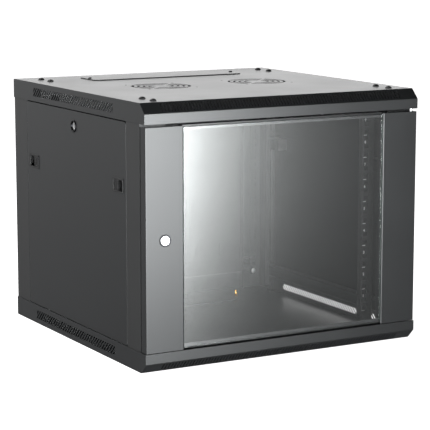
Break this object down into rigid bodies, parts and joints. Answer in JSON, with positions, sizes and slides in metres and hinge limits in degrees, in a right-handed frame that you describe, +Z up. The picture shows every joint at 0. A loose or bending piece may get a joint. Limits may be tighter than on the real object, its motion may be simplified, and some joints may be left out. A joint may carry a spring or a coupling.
{
  "type": "network server rack cabinet",
  "caption": "Wall-mounted cabinet for 19-inch network equipment with a glass front door, lift-off side panels, bevelled vented covers and mounting rails.",
  "frame": {"origin": "on the resting plane, under the middle of the cabinet", "axes": "+Z up, the door faces -Y, the door hinges are on the +X side, the back panel faces +Y"},
  "size_m": [0.6, 0.6018, 0.5053],
  "materials": {
    "powder_coat": "fine-textured satin black powder coat",
    "frame_coat": "satin black powder coat",
    "lock_body": "black lock case",
    "glass": "clear toughened glass",
    "chrome": "polished",
    "zinc": "zinc plated",
    "plastic": "moulded black plastic",
    "brass": "plain"
  },
  "bodies": {
    "cabinet": {"top_cover": "powder_coat", "bottom_cover": "powder_coat", "rear_panel": "powder_coat", "top_entry_plate": "powder_coat", "bottom_entry_plate": "powder_coat", "entry_plate_screw_left": "plastic", "entry_plate_screw_right": "plastic", "bolt_cap_front_left_1": "plastic", "bolt_cap_front_left_2": "plastic", "bolt_cap_front_right_1": "plastic", "bolt_cap_front_right_2": "plastic", "bolt_cap_rear_left_1": "plastic", "bolt_cap_rear_left_2": "plastic", "bolt_cap_rear_right_1": "plastic", "bolt_cap_rear_right_2": "plastic", "front_left_column": "frame_coat", "front_right_column": "frame_coat", "rear_left_column": "frame_coat", "rear_right_column": "frame_coat", "lower_left_rail_support": "frame_coat", "lower_right_rail_support": "frame_coat", "upper_left_rail_support": "frame_coat", "upper_right_rail_support": "frame_coat", "front_left_mounting_rail": "frame_coat", "front_right_mounting_rail": "frame_coat", "rear_left_mounting_rail": "frame_coat", "rear_right_mounting_rail": "frame_coat", "earth_stud": "brass"},
    "door": {"door_left_stile": "powder_coat", "door_right_stile": "powder_coat", "door_top_rail": "powder_coat", "door_bottom_rail": "powder_coat", "door_glass": "glass", "upper_hinge_block": "zinc", "lower_hinge_block": "zinc", "upper_hinge_pin": "zinc", "lower_hinge_pin": "zinc", "door_lock_barrel": "lock_body", "door_lock_nut": "zinc"},
    "door_lock": {"door_lock_plug": "chrome", "door_lock_cam": "zinc"},
    "left_panel": {"left_side_panel": "powder_coat", "left_side_lock_barrel": "lock_body", "left_front_latch_housing": "plastic", "left_rear_latch_housing": "plastic"},
    "left_panel_lock": {"left_side_lock_plug": "chrome", "left_side_lock_cam": "zinc"},
    "left_front_latch": {"left_front_latch_slide": "plastic"},
    "left_rear_latch": {"left_rear_latch_slide": "plastic"},
    "right_panel": {"right_side_panel": "powder_coat", "right_side_lock_barrel": "lock_body", "right_front_latch_housing": "plastic", "right_rear_latch_housing": "plastic"},
    "right_panel_lock": {"right_side_lock_plug": "chrome", "right_side_lock_cam": "zinc"},
    "right_front_latch": {"right_front_latch_slide": "plastic"},
    "right_rear_latch": {"right_rear_latch_slide": "plastic"}
  },
  "joints": [
    {"name": "door_hinge", "type": "hinge", "parent": "cabinet", "child": "door", "pos_m": [0.291, -0.29, 0.248], "axis": [0, 0, 1], "range_deg": [0, 120]},
    {"name": "door_lock_turn", "type": "hinge", "parent": "door", "child": "door_lock", "pos_m": [-0.259, -0.273, 0.24825], "axis": [0, 1, 0], "range_deg": [0, 90]},
    {"name": "left_panel_slide", "type": "slide", "parent": "cabinet", "child": "left_panel", "axis": [-1, 0, 0], "range_m": [0, 0.12]},
    {"name": "left_panel_lock_turn", "type": "hinge", "parent": "left_panel", "child": "left_panel_lock", "pos_m": [-0.2999, 0.0085, 0.4305], "axis": [1, 0, 0], "range_deg": [0, 90]},
    {"name": "left_front_latch_slide_joint", "type": "slide", "parent": "left_panel", "child": "left_front_latch", "axis": [0, -1, 0], "range_m": [0, 0.008]},
    {"name": "left_rear_latch_slide_joint", "type": "slide", "parent": "left_panel", "child": "left_rear_latch", "axis": [0, 1, 0], "range_m": [0, 0.008]},
    {"name": "right_panel_slide", "type": "slide", "parent": "cabinet", "child": "right_panel", "axis": [1, 0, 0], "range_m": [0, 0.12]},
    {"name": "right_panel_lock_turn", "type": "hinge", "parent": "right_panel", "child": "right_panel_lock", "pos_m": [0.2999, 0.0085, 0.4305], "axis": [1, 0, 0], "range_deg": [0, 90]},
    {"name": "right_front_latch_slide_joint", "type": "slide", "parent": "right_panel", "child": "right_front_latch", "axis": [0, -1, 0], "range_m": [0, 0.008]},
    {"name": "right_rear_latch_slide_joint", "type": "slide", "parent": "right_panel", "child": "right_rear_latch", "axis": [0, 1, 0], "range_m": [0, 0.008]}
  ]
}
